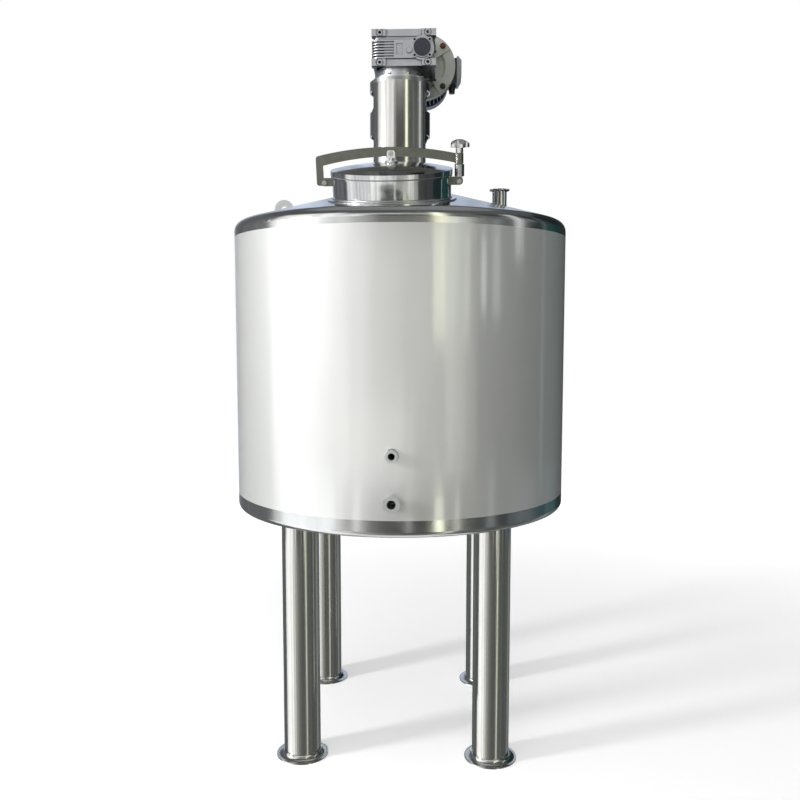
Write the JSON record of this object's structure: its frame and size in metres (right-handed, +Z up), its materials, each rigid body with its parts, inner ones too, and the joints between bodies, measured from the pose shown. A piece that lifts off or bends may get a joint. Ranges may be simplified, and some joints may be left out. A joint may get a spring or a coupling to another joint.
{
  "type": "mixing tank",
  "caption": "Insulated stainless mixing tank on four tubular legs, with a clamped round manway and a worm gear drive on its conical top.",
  "frame": {"origin": "on the floor, under the tank's axis", "axes": "+Z up the tank, the manway and the front ports face -Y, the terminal box is towards +X"},
  "size_m": [1.2, 1.23, 2.5823],
  "materials": {
    "matt_stainless": "satin, grain round the shell",
    "polished_stainless": "mirror polished",
    "pipe_stainless": "polished pipe",
    "plain_stainless": "mill finish",
    "dark_stainless": "dull satin bar",
    "bolt_steel": "bright bolts",
    "knob_chrome": "polished casting",
    "gasket_rubber": "soft seal",
    "mineral_wool": "sealed slabs",
    "gear_aluminium": "die cast",
    "flange_aluminium": "machined casting",
    "motor_paint": "grey enamel",
    "black_plastic": "moulded"
  },
  "bodies": {
    "tank": {"cladding_shell": "matt_stainless", "top_head": "polished_stainless", "bottom_head": "polished_stainless", "manway_neck": "polished_stainless", "manway_pad": "polished_stainless", "drive_stand": "polished_stainless", "vent_ferrule": "polished_stainless", "thermometer_socket": "polished_stainless", "drain_ferrule": "polished_stainless", "bottom_outlet": "polished_stainless", "legs": "pipe_stainless", "feet": "pipe_stainless", "vessel_wall": "plain_stainless", "vessel_floor": "plain_stainless", "stand_plate": "plain_stainless", "agitator_shaft": "plain_stainless", "shaft_coupling": "plain_stainless", "seal_housing": "plain_stainless", "impeller": "plain_stainless", "lifting_lug": "plain_stainless", "clamp_ears": "dark_stainless", "clamp_pins": "bolt_steel", "insulation": "mineral_wool", "gearbox_housing": "gear_aluminium", "gear_top_cover": "gear_aluminium", "gear_flange": "gear_aluminium", "worm_cover": "gear_aluminium", "input_flange": "flange_aluminium", "motor_flange": "motor_paint", "motor_body": "motor_paint", "fan_cover": "motor_paint", "terminal_box": "motor_paint", "terminal_lid": "motor_paint", "worm_cap": "black_plastic", "cable_gland": "black_plastic"},
    "lid_clamp": {"clamp_arm": "dark_stainless", "manway_lid": "polished_stainless", "lid_clevis": "polished_stainless", "lid_pin": "bolt_steel", "lid_gasket": "gasket_rubber"},
    "swing_bolt": {"swing_bolt": "bolt_steel"},
    "star_knob": {"star_knob": "knob_chrome"}
  },
  "joints": [
    {"name": "lid_swing", "type": "hinge", "parent": "tank", "child": "lid_clamp", "pos_m": [-0.22976, -0.35937, 1.96218], "axis": [-0.0286, -0.9646, -0.2622], "range_deg": [0, 110]},
    {"name": "bolt_swing", "type": "hinge", "parent": "tank", "child": "swing_bolt", "pos_m": [0.20805, -0.37236, 1.96218], "axis": [0.0286, 0.9646, 0.2622], "range_deg": [0, 100]},
    {"name": "knob_turn", "type": "hinge", "parent": "swing_bolt", "child": "star_knob", "pos_m": [0.20736, -0.39529, 2.04662], "axis": [-0.0078, -0.2621, 0.965], "continuous": true}
  ]
}
